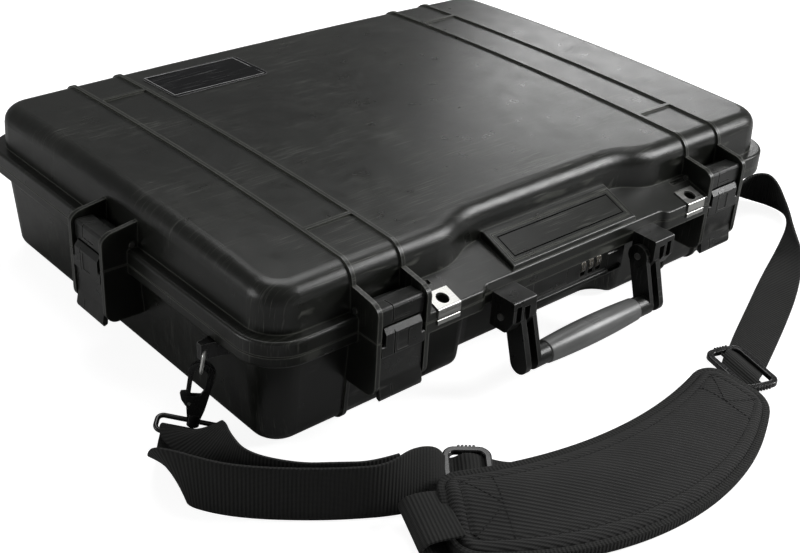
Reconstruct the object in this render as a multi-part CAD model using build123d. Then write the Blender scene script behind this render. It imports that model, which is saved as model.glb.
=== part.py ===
from build123d import *
import math
import os

# A hard case for a laptop, lying flat and closed, with its shoulder strap on the floor before it.
# Millimetres, +Z up, the handle towards -Y and the hinges towards +Y. Every piece is drawn about
# the middle of the case with the floor at z = 0, and moved to the part's origin when it is written.

# Shells.
caseHeight = 124.0
seamHeight = 76.5
seamGap = 0.6
bodyHalfX = 246.4
bodyHalfY = 176.6
bodyCorner = 25.0
wall = 4.0
lidDraft = 3.0
baseDraft = 4.5
lidEdgeRadius = 13.0
baseEdgeRadius = 10.0
crownDropX = 1.9
crownSpanX = 235.0
crownDropY = 3.2
crownSpanY = 160.0

# The front wall steps back behind the handle: depth, half width of the flat, run of the bend.
recessHalf = 62.0
lidRecessDepth = 11.6
lidRecessRun = 50.0
baseRecessDepth = 13.6
baseRecessRun = 24.0

# Ribs and latch guards.
ribWidth = 3.0
ribHeight = 1.6
crossRibY = 124.7
latchX = 162.4
endLatchY = -9.0
guardPitch = 39.8
guardWall = 3.6
guardReach = 25.9
guardTop = 105.0
guardFoot = 35.5

# Flanges round the seam, with the seal in the lid's.
flangeReach = 7.7
flangeCorner = 31.0
lidFlangeTop = 87.0
baseFlangeBottom = 68.5
flangeRound = 2.2
latchNotch = 2.6
sealWidth = 4.4
sealHeight = 4.0
sealGap = 0.25
sealInset = 1.4

# Shelf in front of the lid, its two padlock bosses and the name panel.
shelfBack = 94.0
shelfSlope = 0.2926
shelfReach = 22.0
bossReach = 26.0
bossInner = 96.4
bossRun = 9.7
shelfRound = 1.8
padlockX = 125.5
padlockReach = 19.7
padlockRadius = 4.6
plateWidth = 19.2
plateDepth = 13.6
plateSheet = 1.2
panelHalf = 62.2
panelFront = 20.5
panelFrontTop = 88.1
panelBackTop = 99.7
panelRound = 1.2
panelBorder = 3.6
panelSheet = 1.5
panelGap = 0.45
labelX = -89.0
labelY = 123.5
labelSize = (88.0, 49.0)
labelSheet = 0.6
labelCorner = 5.0

# Hinges at the back.
hingeX = 170.0
hingeReach = 20.6
knuckleRadius = 8.0
knucklePitch = 11.2
knuckleGap = 0.6
hingePin = 2.5
hingeTop = 105.0
hingeFoot = 48.0

# Foam sheets.
foamSheet = 12.0
foamGap = 0.4

# Latches: the claw hangs on the lid's pin, the lever on the claw's pin.
clawPinY = -3.8
clawPinZ = 89.7
clawPinRadius = 2.0
clawBarrel = 3.4
clawTop = 98.0
latchFront = 23.2
latchSideGap = 0.75
leverPinY = -19.0
leverPinZ = 77.0
leverPinRadius = 1.6
lugRadius = 3.6
lugWidth = 2.4
lugGap = 0.4
ledgeFront = 26.2
ledgeTop = 84.2
ledgeFoot = 65.0
leverFoot = 32.0
leverSheet = 3.0
hookGap = 0.4
splitX = -8.0
splitWidth = 0.9
splitDepth = 1.1
runningGap = 0.05

# Handle.
handlePinReach = 31.4
handlePinZ = 61.5
handlePinRadius = 2.5
handleDrop = 37.0
handleTilt = 17.0
armRadius = 8.6
armSheet = 3.6
armGap = 0.5
slotRoom = 0.8
bracketInner = 61.0
bracketOuter = 82.0
innerCheek = 5.5
outerCheek = 10.0
bracketTop = 76.6
bracketFront = 11.1
gripHalf = 46.5
gripEndRadius = 8.5
gripMidRadius = 10.0
gripCore = 5.0
collarRadius = 7.8

# Lock between the brackets.
lockHalf = 58.0
lockReach = 17.9
lockTop = 68.2
lockFoot = 47.0
lipReach = 2.6
lipHeight = 4.0
windowDepth = 1.2
blankMiddle = (-19.5, 59.8)
blankSize = (34.0, 12.5)
dialX = (14.0, 22.0, 30.0)
dialZ = 60.6
dialRadius = 7.0
dialWidth = 4.6
dialProud = 1.0
dialGap = 0.35
axleRadius = 1.5
buttonMiddle = (45.5, 56.5)
buttonSize = (12.5, 14.0)
buttonProud = 0.8
buttonDepth = 6.0
buttonTravel = 2.5
buttonGap = 0.3

# Strap brackets on the end walls, their links, the trigger hooks and the hooks' loops.
strapY = -127.0
strapZ = 62.5
bracketWide = 15.0
bracketTall = 11.0
bracketProud = 16.0
linkWire = 1.3
linkHalf = 5.0
linkTall = 16.0
linkRoom = 0.5
linkTurn = 43.0
linkLean = 12.0
hookSheet = 5.0
hookWire = 4.2
hookBow = 8.6
hookTall = 42.0
gateSheet = 3.0
gatePin = 1.1
footRadius = 4.0
loopWide = 44.0
loopTall = 12.0
loopWire = 1.6
loopLean = 66.0

# Strap: the webbing, two sliders and the shoulder pad.
webWidth = 38.0
webSheet = 1.8
sliderLong = 51.0
sliderWide = 31.0
sliderBar = 4.6
sliderSheet = 3.6
sliderCorner = 8.0
sliderEdge = 1.2
ridgeCount = 5
ridgePitch = 2.4
ridgeRadius = 0.9
webGap = 0.5
webLead = 1.5
padSheet = 8.0
padLift = 8.7
padTilt = 1.6
padCrown = 3.2
padCorner = 13.0
padTaper = 62.0
padBack = [(-187, -269), (-71, -301), (46, -287)]
padFront = [(54, -331), (-76, -370), (-214, -314)]

# Routes of the webbing as it lies: its lower edge and its upper edge at each place.
innerRoute = [
    ((-293, -131, 12), (-267, -153, 25)),
    ((-289, -146, 8), (-269, -163, 35)),
    ((-287, -168, 4), (-277, -181, 39)),
    ((-281, -200, 1), (-280, -201, 39)),
    ((-262, -227, 1), (-262, -227, 39)),
    ((-243, -240, 1), (-243, -240, 39)),
    ((-226, -252, 1), (-226, -252, 39)),
]
outerRoute = [
    ((-271, -158, 1.4), (-299, -132, 1.4)),
    ((-292, -169, 1.4), (-312, -144, 22)),
    ((-303, -177, 1), (-308, -171, 38)),
    ((-296, -198, 1), (-296, -198, 39)),
    ((-280, -217, 1), (-280, -217, 39)),
    ((-263, -232, 1), (-263, -232, 39)),
    ((-244, -246, 1), (-244, -246, 39)),
    ((-221, -260, 1), (-221, -260, 39)),
    ((-204, -267, 1), (-193, -252, 34)),
    ((-194, -275, 3), (-175, -251, 25)),
    ((-175, -284, 5.9), (-152, -255, 10.0)),
    ((-150, -303, 3), (-130, -271, 3)),
    ((-125, -316, 2), (-112, -280, 2)),
    ((-104, -323, 2), (-95, -286, 2)),
]
foldRoute = [
    ((-190, -323, 1), (-178, -287, 1)),
    ((-207, -317, 1), (-195, -281, 1)),
    ((-226, -305, 3), (-212, -270, 5)),
    ((-232, -301, 7), (-219, -267, 12)),
    ((-228, -303, 13), (-214, -268, 17)),
    ((-221, -306, 14), (-207, -271, 18)),
]
rightRoute = [
    ((62, -288, 2), (51, -324, 2)),
    ((84, -278, 4.2), (73, -314, 4.2)),
    ((116, -263, 2), (108, -300, 2)),
    ((158, -245, 2), (152, -282, 5)),
    ((198, -228, 2), (194, -263, 11)),
    ((257, -204, 2), (241, -236, 15)),
    ((298, -186, 2), (270, -206, 18)),
    ((318, -170, 2), (291, -186, 22)),
    ((321, -152, 1), (307, -157, 36)),
    ((316, -136, 1), (303, -146, 36)),
    ((309, -122, 3), (290, -140, 31)),
    ((301, -120, 11), (276, -143, 25)),
]
sliderPlace = {"left": 11, "right": 1}


# Places that follow from the sizes above.
lidBottom = seamHeight + seamGap / 2
baseTop = seamHeight - seamGap / 2
lidTop = caseHeight - ribHeight + crownDropX * ((latchX - guardPitch / 2) / crownSpanX) ** 2
baseFloor = ribHeight
lidRecess = (lidRecessDepth, recessHalf, lidRecessRun)
baseRecess = (baseRecessDepth, recessHalf, baseRecessRun)
ribXs = (latchX - guardPitch / 2, latchX + guardPitch / 2)
latchHalf = (guardPitch - guardWall) / 2 - latchSideGap
flangeHalfX = bodyHalfX + flangeReach
flangeHalfY = bodyHalfY + flangeReach
hingeY = bodyHalfY + hingeReach
padlockY = -bodyHalfY - padlockReach
handlePinY = -bodyHalfY - handlePinReach
lockFace = -bodyHalfY - lockReach
sides = {"left": -1, "right": 1}
latchSpots = {
    "front_left": Pos(-latchX, -bodyHalfY, 0),
    "front_right": Pos(latchX, -bodyHalfY, 0),
    "end_left": Pos(-bodyHalfX, endLatchY, 0) * Rot(0, 0, -90),
    "end_right": Pos(bodyHalfX, endLatchY, 0) * Rot(0, 0, 90),
}
gatePivot = (-4.4, 12.5)


# A face in the YZ plane through points (y, z, corner radius).
def sideFace(points):
    face = make_face(Polyline(*[(y, z) for y, z, _ in points], close=True))
    for y, z, radius in points:
        if radius:
            corner = face.vertices().sort_by_distance((y, z, 0))[0]
            face = fillet(corner, radius)
    return Plane.YZ * face


# The same face as a slab, between two places along X.
def slab(points, low, high):
    return Pos(low, 0, 0) * extrude(sideFace(points), high - low)


# A block between two corners.
def block(low, high):
    size = [b - a for a, b in zip(low, high)]
    middle = [(a + b) / 2 for a, b in zip(low, high)]
    return Pos(*middle) * Box(*size)


# A round bar along X through (y, z), between two places along X.
def barX(radius, y, z, low, high):
    return Pos((low + high) / 2, y, z) * Rot(0, 90, 0) * Cylinder(radius, high - low)


def rimOf(solid, highest=True):
    return solid.faces().sort_by(Axis.Z)[-1 if highest else 0].edges()


# Plan of the case body, with the step in its front wall, moved outward by grow.
def bodyFace(grow, recess, height):
    depth, flat, run = recess
    x = bodyHalfX + grow
    y = bodyHalfY + grow
    r = bodyCorner + grow
    with BuildSketch(Plane.XY.offset(height)) as plan:
        with BuildLine():
            Line((0, depth - y), (flat, depth - y))
            bend = TangentArc((flat, depth - y), (flat + run / 2, depth / 2 - y), tangent=(1, 0))
            TangentArc((flat + run / 2, depth / 2 - y), (flat + run, -y), tangent=bend % 1)
            Line((flat + run, -y), (x - r, -y))
            RadiusArc((x - r, -y), (x, r - y), -r)
            Line((x, r - y), (x, y - r))
            RadiusArc((x, y - r), (x - r, y), -r)
            Line((x - r, y), (0, y))
            mirror(about=Plane.YZ)
        make_face()
    return plan.sketch


# Everything under the lid's crowned top, whose middle is at height top.
def crownTool(top):
    radiusX = crownSpanX ** 2 / (2 * crownDropX)
    radiusY = crownSpanY ** 2 / (2 * crownDropY)
    reach = 1.2 * bodyHalfX
    edge = top - radiusY + math.sqrt(radiusY ** 2 - reach ** 2)
    with BuildSketch(Plane.YZ) as profile:
        with BuildLine():
            ThreePointArc((-reach, edge), (0, top), (reach, edge))
            Polyline((reach, edge), (reach, -reach), (-reach, -reach), (-reach, edge))
        make_face()
    half = math.degrees(math.asin(reach / radiusX))
    axis = Axis((0, 0, top - radiusX), (0, 1, 0))
    return revolve(profile.sketch.rotate(axis, -half), axis, 2 * half)


def lidBlock(grow):
    walls = extrude(bodyFace(grow, lidRecess, lidBottom), lidTop - lidBottom + wall, taper=lidDraft)
    body = walls & crownTool(lidTop + grow)
    return fillet(rimOf(body), lidEdgeRadius + grow)


def baseBlock(grow, recess):
    tall = baseTop - baseFloor + grow
    body = extrude(bodyFace(grow, recess, 0), tall, taper=baseDraft)
    body = fillet(rimOf(body), baseEdgeRadius + grow)
    return Pos(0, 0, baseTop) * body.mirror(Plane.XY)


# Ribs along Y over the whole body, and two short ones across each pair.
def ribs(shape, crossed):
    slabs = [Pos(side * x, 0, seamHeight) * Box(ribWidth, 3 * bodyHalfY, 2 * caseHeight)
             for side in (-1, 1) for x in ribXs]
    if crossed:
        slabs += [Pos(side * latchX, end * crossRibY, caseHeight) * Box(guardPitch, ribWidth, lidEdgeRadius)
                  for side in (-1, 1) for end in (-1, 1)]
    return shape & Compound(slabs)


# The walls either side of each latch, drawn from a profile about the case wall.
def guards(points):
    pair = [slab(points, x - guardWall / 2, x + guardWall / 2) for x in (-guardPitch / 2, guardPitch / 2)]
    return [spot * wallPiece for spot in latchSpots.values() for wallPiece in pair]


def flange(low, high, rounded):
    with BuildSketch(Plane.XY.offset(low)) as plan:
        RectangleRounded(2 * flangeHalfX, 2 * flangeHalfY, flangeCorner)
    ring = extrude(plan.sketch, high - low)
    return fillet(rimOf(ring, rounded == "top"), flangeRound)


# Plan of the shelf over the handle, with a boss towards each end for a padlock.
def shelfPlan(low, high):
    front = -bodyHalfY - shelfReach
    boss = -bodyHalfY - bossReach
    back = -bodyHalfY + lidRecessDepth + 2 * wall
    bend = bossInner - bossRun
    with BuildSketch(Plane.XY.offset(low)) as plan:
        with BuildLine():
            Line((0, front), (bend, front))
            first = TangentArc((bend, front), (bend + bossRun / 2, (front + boss) / 2), tangent=(1, 0))
            TangentArc((bend + bossRun / 2, (front + boss) / 2), (bossInner, boss), tangent=first % 1)
            Polyline((bossInner, boss), (ribXs[0], boss), (ribXs[0], back), (0, back))
            mirror(about=Plane.YZ)
        make_face()
    return extrude(plan.sketch, high - low)


def shelfHeight(y):
    return shelfBack + shelfSlope * (y + bodyHalfY - lidRecessDepth)


def lidShelf():
    near = -bodyHalfY + 3 * lidRecessDepth
    far = -bodyHalfY - 2 * bossReach
    under = slab([(near, lidBottom, 0), (far, lidBottom, 0), (far, shelfHeight(far), 0),
                  (near, shelfHeight(near), 0)], -latchX, latchX)
    shelf = shelfPlan(lidBottom, shelfBack + lidRecessDepth) & under
    top = shelf.faces().sort_by(Axis.Z)[-1]
    front = top.edges().filter_by(lambda edge: edge.center().Y < -bodyHalfY - 0.8 * shelfReach)
    return fillet(front, shelfRound)


# Places of the name panel: its front and back top edges and the middle between them.
def panelFrame():
    front = -bodyHalfY - panelFront
    back = -bodyHalfY + lidRecessDepth - ribHeight
    tilt = math.degrees(math.atan2(panelBackTop - panelFrontTop, back - front))
    spot = Pos(0, (front + back) / 2, (panelFrontTop + panelBackTop) / 2) * Rot(tilt, 0, 0)
    length = math.hypot(panelBackTop - panelFrontTop, back - front)
    return front, back, spot, length


def panelBox():
    front, back, _, _ = panelFrame()
    inside = back + wall
    box = slab([(inside, lidBottom, 0), (front, lidBottom, 0), (front, panelFrontTop, 0),
                (back, panelBackTop, 0), (inside, panelBackTop, 0)], -panelHalf, panelHalf)
    edges = box.edges().filter_by(lambda edge: edge.center().Z > (lidBottom + panelFrontTop) / 2)
    edges = edges.filter_by(lambda edge: edge.center().Y < back + 0.1)
    return fillet(edges, panelRound)


def panelSheetBox(gap):
    _, _, spot, length = panelFrame()
    wide = 2 * (panelHalf - panelBorder) - 2 * gap
    deep = length - 2 * panelBorder - 2 * gap
    return spot * Pos(0, 0, -panelSheet / 2) * Box(wide, deep, panelSheet)


def sealRing(gap):
    outer = bodyFace(-sealInset - gap + sealWidth / 2, lidRecess, lidBottom)
    inner = bodyFace(-sealInset + gap - sealWidth / 2, lidRecess, lidBottom)
    return extrude(outer - inner, sealHeight - gap)


def padlockBores():
    return [Pos(side * padlockX, padlockY, seamHeight) * Cylinder(padlockRadius, caseHeight)
            for side in (-1, 1)]


# Hinge lugs of one shell: which knuckles it has, and the profile of its webs.
def hingeLugs(knuckles, points):
    lugs = []
    for side in (-1, 1):
        for knuckle in knuckles:
            middle = side * (hingeX + knuckle * knucklePitch)
            low = middle - (knucklePitch - knuckleGap) / 2
            high = middle + (knucklePitch - knuckleGap) / 2
            lug = slab(points, low, high) + barX(knuckleRadius, hingeY, seamHeight, low, high)
            lugs.append(lug - barX(hingePin + runningGap, hingeY, seamHeight, low - 1, high + 1))
    return lugs


def lidShell():
    wallY = bodyHalfY - wall / 2
    body = lidBlock(0) + ribs(lidBlock(ribHeight), True)
    body += flange(lidBottom, lidFlangeTop, "top")
    body += lidShelf()
    body += panelBox()
    body += guards([(wall, lidBottom, 0), (-guardReach, lidBottom, 0), (-guardReach, 98.5, 6),
                    (-20.0, 102.4, 10), (wall, guardTop + 1.0, 0)])
    notch = block((-latchHalf - latchSideGap, -flangeReach - 1, lidFlangeTop - latchNotch),
                  (latchHalf + latchSideGap, -0.2, lidFlangeTop + 1))
    body -= [spot * notch for spot in latchSpots.values()]
    body -= [spot * barX(clawPinRadius + runningGap, clawPinY, clawPinZ, -guardPitch, guardPitch)
             for spot in latchSpots.values()]
    body += hingeLugs((-2, 0, 2), [(wallY, lidBottom + 0.4, 0), (wallY, hingeTop, 0),
                                   (hingeY - 12, hingeTop - 2, 5), (hingeY + 1, hingeTop - 10, 7),
                                   (hingeY + knuckleRadius, seamHeight + 4, 2),
                                   (hingeY + 0.9 * knuckleRadius, lidBottom + 0.4, 0)])
    body -= lidBlock(-wall)
    body -= sealRing(0)
    body -= panelSheetBox(0)
    body -= padlockBores()
    return body


def baseShell():
    wallY = bodyHalfY - wall
    body = baseBlock(0, baseRecess) + ribs(baseBlock(ribHeight, baseRecess), False)
    body += flange(baseFlangeBottom, baseTop, "bottom")
    body += shelfPlan(baseFlangeBottom, baseTop)
    body += guards([(wall, baseTop, 0), (-guardReach, baseTop, 0), (-guardReach, guardFoot, 9),
                    (wall + 1, guardFoot, 0)])
    catch = slab([(wall, 59.0, 0), (-2.0, 61.0, 1), (-flangeReach, 65.5, 1),
                  (-flangeReach, baseFlangeBottom + 1, 0), (wall, baseFlangeBottom + 1, 0)],
                 -guardPitch / 2, guardPitch / 2)
    body += [spot * catch for spot in latchSpots.values()]
    body += hingeLugs((-1, 1), [(wallY, baseTop - 0.4, 0), (wallY - 1, hingeFoot, 0),
                                (hingeY - 8, hingeFoot + 6, 6), (hingeY + 6, seamHeight - 9, 4),
                                (hingeY + 0.9 * knuckleRadius, baseTop - 0.4, 0)])
    body -= baseBlock(-wall, lidRecess)
    body -= padlockBores()
    body -= [platePocket(side) for side in (-1, 1)]
    arm = armSlot()
    body -= [Pos(side * (bracketInner + bracketOuter) / 2, 0, 0) * arm for side in (-1, 1)]
    return body


# Room behind each bracket for the handle's arms to turn in.
def armSlot():
    half = (bracketOuter - bracketInner) / 2 + armSheet + armGap
    return barX(armRadius + 1.2, handlePinY, handlePinZ, -half, half)


def platePocket(side):
    back = -bodyHalfY - bossReach + plateDepth
    half = plateWidth / 2
    return block((side * padlockX - half, -bodyHalfY - bossReach - 1, baseTop - plateSheet),
                 (side * padlockX + half, back, baseTop + 1))


# Steel plates round the padlock holes, bent over the front of the shelf and of the base.
def padlockPlates(side):
    front = -bodyHalfY - bossReach
    back = front + plateDepth
    low = side * padlockX - plateWidth / 2
    high = side * padlockX + plateWidth / 2
    lift = plateSheet * math.hypot(1, shelfSlope)
    upper = slab([(back, shelfHeight(back), 0), (front, shelfHeight(front), 0), (front, lidBottom + 0.6, 0),
                  (front - plateSheet, lidBottom + 0.6, 0),
                  (front - plateSheet, shelfHeight(front - plateSheet) + lift, 1.5),
                  (back, shelfHeight(back) + lift, 0)], low, high)
    lower = slab([(back, baseTop, 0), (front - plateSheet, baseTop, 1), (front - plateSheet, baseTop - 3.4, 0),
                  (front, baseTop - 3.4, 0), (front, baseTop - plateSheet, 0),
                  (back, baseTop - plateSheet, 0)], low, high)
    return upper - padlockBores(), lower - padlockBores()


def labelPlate():
    with BuildSketch() as plan:
        RectangleRounded(*labelSize, labelCorner)
    column = Pos(labelX, labelY, 0) * extrude(plan.sketch, 2 * caseHeight)
    return (column & crownTool(lidTop + labelSheet)) - crownTool(lidTop)


def foams():
    inside = lidBlock(-wall - foamGap)
    top = inside & block((-bodyHalfX, -bodyHalfY, lidTop - wall - foamSheet - crownDropX),
                         (bodyHalfX, bodyHalfY, caseHeight))
    floor = baseFloor + wall + foamGap
    bottom = baseBlock(-wall - foamGap, lidRecess) & block((-bodyHalfX, -bodyHalfY, 0),
                                                           (bodyHalfX, bodyHalfY, floor + foamSheet))
    return top, bottom


# A latch's claw, about the case wall: the barrel on the lid's pin, the block that shows above
# the ledge, and a lug each side down to the lever's pin.
def latchClaw():
    hood = slab([(clawPinY, clawPinZ + clawBarrel, 0), (-8.5, clawPinZ + 4.5, 1), (-9.6, clawTop - 0.8, 1),
                 (-latchFront + 1.2, clawTop, 1.2), (-latchFront, clawTop - 2.0, 0.6),
                 (-latchFront, ledgeTop + 1.2, 0.5), (-latchFront + leverSheet, ledgeTop + 1.2, 0),
                 (-latchFront + leverSheet + 1.5, clawTop - 6, 2), (-10.5, clawPinZ + 1.0, 2),
                 (clawPinY, clawPinZ - clawBarrel, 0)], -latchHalf, latchHalf)
    claw = hood + barX(clawBarrel, clawPinY, clawPinZ, -latchHalf, latchHalf)
    lug = [(leverPinY - lugRadius, leverPinZ, 0), (-latchFront + 0.6, ledgeTop + 1.3, 0),
           (-latchFront + 0.6, clawTop - 4, 0), (leverPinY + lugRadius + 3, clawTop - 4, 0),
           (leverPinY + lugRadius, leverPinZ, 0)]
    for low, high in ((-latchHalf, lugWidth - latchHalf), (latchHalf - lugWidth, latchHalf)):
        cheek = slab(lug, low, high) + barX(lugRadius, leverPinY, leverPinZ, low, high)
        claw += cheek - barX(leverPinRadius, leverPinY, leverPinZ, low - 1, high + 1)
    claw -= barX(clawPinRadius + runningGap, clawPinY, clawPinZ, -guardPitch, guardPitch)
    claw -= splitLine(clawTop + 2, -latchFront + splitDepth)
    claw -= block((splitX, -clawTop, clawTop - splitDepth), (splitX + splitWidth, -14.0, clawTop + 1))
    slot = block((splitX + 2, -latchFront - 1, clawPinZ - 1.6), (splitX + 14, -latchFront + 1.0, clawPinZ - 0.8))
    return claw - slot


# The line that runs down the front of claw and lever, to a side of the middle.
def splitLine(high, depth):
    return block((splitX, -2 * ledgeFront, 0), (splitX + splitWidth, depth, high))


# The lever: a ledge between the claw's lugs, and a cover that runs down between the guards.
def latchLever():
    inner = latchHalf - lugWidth - lugGap
    middle = (ledgeTop + ledgeFoot) / 2 - 2
    ledge = slab([(-latchFront - 0.2, ledgeTop, 0.6), (-ledgeFront, ledgeTop - 3.8, 0.6), (-ledgeFront, ledgeFoot, 0),
                  (-ledgeFront + leverSheet, ledgeFoot, 0), (leverPinY + lugRadius, ledgeFoot + 7, 2),
                  (leverPinY + lugRadius, ledgeTop - 3, 2), (-latchFront + leverSheet, ledgeTop, 0)],
                 -inner, inner)
    cover = slab([(-ledgeFront, middle, 1.5), (-ledgeFront, ledgeFoot, 1), (-ledgeFront + 1.6, ledgeFoot - 1.4, 1),
                  (-ledgeFront + 1.8, leverFoot + 14, 12), (-ledgeFront - 0.4, leverFoot + 3, 3),
                  (-ledgeFront + 0.6, leverFoot, 0.8), (-ledgeFront + 3.6, leverFoot + 1.4, 0.8),
                  (-ledgeFront + 4.8, leverFoot + 14, 12), (-ledgeFront + 4.4, middle, 1.2)],
                 -latchHalf, latchHalf)
    cheek = [(-ledgeFront + 2, middle - 1, 0), (-13.0, middle - 5, 3), (-11.5, 50.0, 8),
             (-17.0, leverFoot + 7, 6), (-ledgeFront + 2, leverFoot + 5, 0)]
    lever = ledge + cover
    lever += [slab(cheek, low, low + lugWidth) for low in (-latchHalf, latchHalf - lugWidth)]
    flangeFace = -flangeReach - hookGap
    hook = slab([(leverPinY, middle + 3.5, 0), (flangeFace, middle + 3.5, 1), (flangeFace, middle - 2, 1.5),
                 (leverPinY - 2, middle - 6, 0)], -inner + 1, inner - 1)
    lever += hook
    lever -= barX(leverPinRadius + runningGap, leverPinY, leverPinZ, -guardPitch, guardPitch)
    lever -= splitLine(ledgeTop + 1, -ledgeFront + splitDepth)
    relief = block((splitX + 3, -ledgeFront - 1, ledgeFoot + 1.5), (splitX + 12, -ledgeFront + 0.4, ledgeTop - 5))
    return lever - relief


def clawPins():
    half = guardPitch / 2 + guardWall / 2 + 0.6
    return [spot * barX(clawPinRadius, clawPinY, clawPinZ, -half, half) for spot in latchSpots.values()]


# A bracket that holds one side of the handle, drawn for the right-hand side.
def handleBracket():
    y = handlePinY
    back = -bodyHalfY - shelfReach
    shape = [(back, bracketTop, 0), (y - bracketFront, bracketTop, 1.5), (y - bracketFront, handlePinZ, 0),
             (y - bracketFront * 0.5, handlePinZ - bracketFront * 0.9, 4), (back, handlePinZ - bracketFront * 0.9, 0)]
    bracket = slab(shape, bracketInner, bracketOuter)
    low = bracketInner + innerCheek
    high = bracketOuter - outerCheek
    reach = 2 * bracketFront
    room = max(armRadius, collarRadius) + slotRoom
    slot = block((low, y - reach, handlePinZ - reach), (high, y + reach, handlePinZ))
    slot += block((low, y - reach, handlePinZ - 1), (high, y, handlePinZ + room)) + barX(room, y, handlePinZ, low, high)
    bracket -= slot
    window = block((high + 2.4, y - reach, handlePinZ - 2), (bracketOuter - 2.6, y - bracketFront + 4, bracketTop - 4))
    bracket -= window
    return bracket - barX(handlePinRadius, y, handlePinZ, bracketInner - 9, bracketOuter + 9)


def armLink(low, high):
    y = handlePinY
    foot = handlePinZ - handleDrop
    plate = barX(armRadius, y, handlePinZ, low, high) + barX(collarRadius, y, foot, low, high)
    return plate + block((low, y - collarRadius, foot), (high, y + collarRadius, handlePinZ))


# The handle's frame, hanging straight down: two plates each side, a web between them below the
# brackets, a collar each side and the core of the grip.
def handleFrame():
    innerHigh = bracketInner - armGap
    innerLow = innerHigh - armSheet
    outerLow = bracketInner + innerCheek + armGap
    outerHigh = bracketOuter - outerCheek - armGap
    foot = handlePinZ - handleDrop
    webTop = handlePinZ - bracketFront - 3.0
    arms = []
    for side in (-1, 1):
        for low, high in ((innerLow, innerHigh), (outerLow, outerHigh)):
            plate = armLink(side * low, side * high) if side > 0 else armLink(-high, -low)
            arms.append(plate)
        webLow, webHigh = sorted((side * innerLow, side * outerHigh))
        arms.append(block((webLow, handlePinY - 1.5, foot), (webHigh, handlePinY + 3.0, webTop)))
        low, high = sorted((side * gripHalf, side * innerHigh))
        arms.append(barX(collarRadius, handlePinY, foot, low, high))
    frame = arms[0] + arms[1:]
    frame += barX(gripCore, handlePinY, foot, -gripHalf, gripHalf)
    bore = [barX(handlePinRadius + runningGap, handlePinY, handlePinZ, side * bracketInner - bracketOuter / 2,
                 side * bracketInner + bracketOuter / 2) for side in (-1, 1)]
    return frame - bore


def handleGrip():
    foot = handlePinZ - handleDrop
    with BuildSketch(Plane.XZ) as profile:
        with BuildLine():
            ThreePointArc((-gripHalf, gripEndRadius), (0, gripMidRadius), (gripHalf, gripEndRadius))
            Polyline((gripHalf, gripEndRadius), (gripHalf, gripCore), (-gripHalf, gripCore),
                     (-gripHalf, gripEndRadius))
        make_face()
    grip = revolve(profile.sketch, Axis.X)
    rim = grip.edges().filter_by(lambda edge: edge.bounding_box().size.Z > 2 * gripCore + 1)
    rim = rim.filter_by(lambda edge: edge.geom_type == GeomType.CIRCLE and abs(edge.center().X) > gripHalf - 1)
    return Pos(0, handlePinY, foot) * fillet(rim, 1.0)


def tilted(shape):
    return Pos(0, handlePinY, handlePinZ) * Rot(-handleTilt, 0, 0) * Pos(0, -handlePinY, -handlePinZ) * shape


def handlePins():
    low = bracketInner - armGap - armSheet - 0.8
    return [barX(handlePinRadius, handlePinY, handlePinZ, *sorted((side * low, side * (bracketOuter + 0.8))))
            for side in (-1, 1)]


# Housing of the combination lock, with openings for the blank plate, dials and button.
def lockHousing():
    back = -bodyHalfY + baseRecessDepth
    body = block((-lockHalf, lockFace, lockFoot), (lockHalf, back, lockTop))
    lip = slab([(lockFace + 1, lockFoot, 0), (lockFace - lipReach, lockFoot + 0.8, 0.7),
                (lockFace - lipReach, lockFoot + lipHeight, 0.7), (lockFace + 1, lockFoot + lipHeight + 1, 0)],
               -lockHalf + 4, lockHalf - 4)
    body += lip
    x, z = blankMiddle
    half = blankSize[0] / 2 + 0.4
    tall = blankSize[1] / 2 + 0.4
    body -= block((x - half, lockFace - 5, z - tall), (x + half, lockFace + windowDepth, z + tall))
    for middle in dialX:
        half = dialWidth / 2 + dialGap
        body -= block((middle - half, lockFace - 5, dialZ - dialRadius - dialGap),
                      (middle + half, dialMiddle() + dialRadius + dialGap, dialZ + dialRadius + dialGap))
    body -= barX(axleRadius, dialMiddle(), dialZ, dialX[0] - dialWidth, dialX[2] + dialWidth)
    x, z = buttonMiddle
    half = buttonSize[0] / 2 + buttonGap
    tall = buttonSize[1] / 2 + buttonGap
    body -= block((x - half, lockFace - 5, z - tall),
                  (x + half, lockFace + buttonDepth + buttonTravel + buttonGap, z + tall))
    return body


def dialMiddle():
    return lockFace - dialProud + dialRadius


def lockParts():
    x, z = blankMiddle
    blank = block((x - blankSize[0] / 2, lockFace + 0.2, z - blankSize[1] / 2),
                  (x + blankSize[0] / 2, lockFace + windowDepth, z + blankSize[1] / 2))
    parts = {"lock_blank_plate": blank}
    for number, middle in enumerate(dialX):
        low = middle - dialWidth / 2
        ring = barX(dialRadius, dialMiddle(), dialZ, low, low + dialWidth)
        ring = chamfer(ring.edges(), 0.5)
        bore = barX(axleRadius + runningGap, dialMiddle(), dialZ, low - 1, low + dialWidth + 1)
        parts[f"lock_dial_{number + 1}"] = ring - bore
    parts["lock_axle"] = barX(axleRadius, dialMiddle(), dialZ, dialX[0] - dialWidth, dialX[2] + dialWidth)
    x, z = buttonMiddle
    button = block((x - buttonSize[0] / 2, lockFace - buttonProud, z - buttonSize[1] / 2),
                   (x + buttonSize[0] / 2, lockFace + buttonDepth, z + buttonSize[1] / 2))
    front = button.faces().sort_by(Axis.Y)[0]
    parts["lock_button"] = chamfer(front.edges(), 0.6)
    return parts


# A closed loop of round wire in the XZ plane, about its middle.
def wireLoop(wide, tall, bend, wire):
    path = (Plane.XZ * RectangleRounded(wide, tall, bend)).wire()
    section = Plane(origin=path @ 0, z_dir=path % 0) * Circle(wire)
    return sweep(section, path=path)


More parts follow.
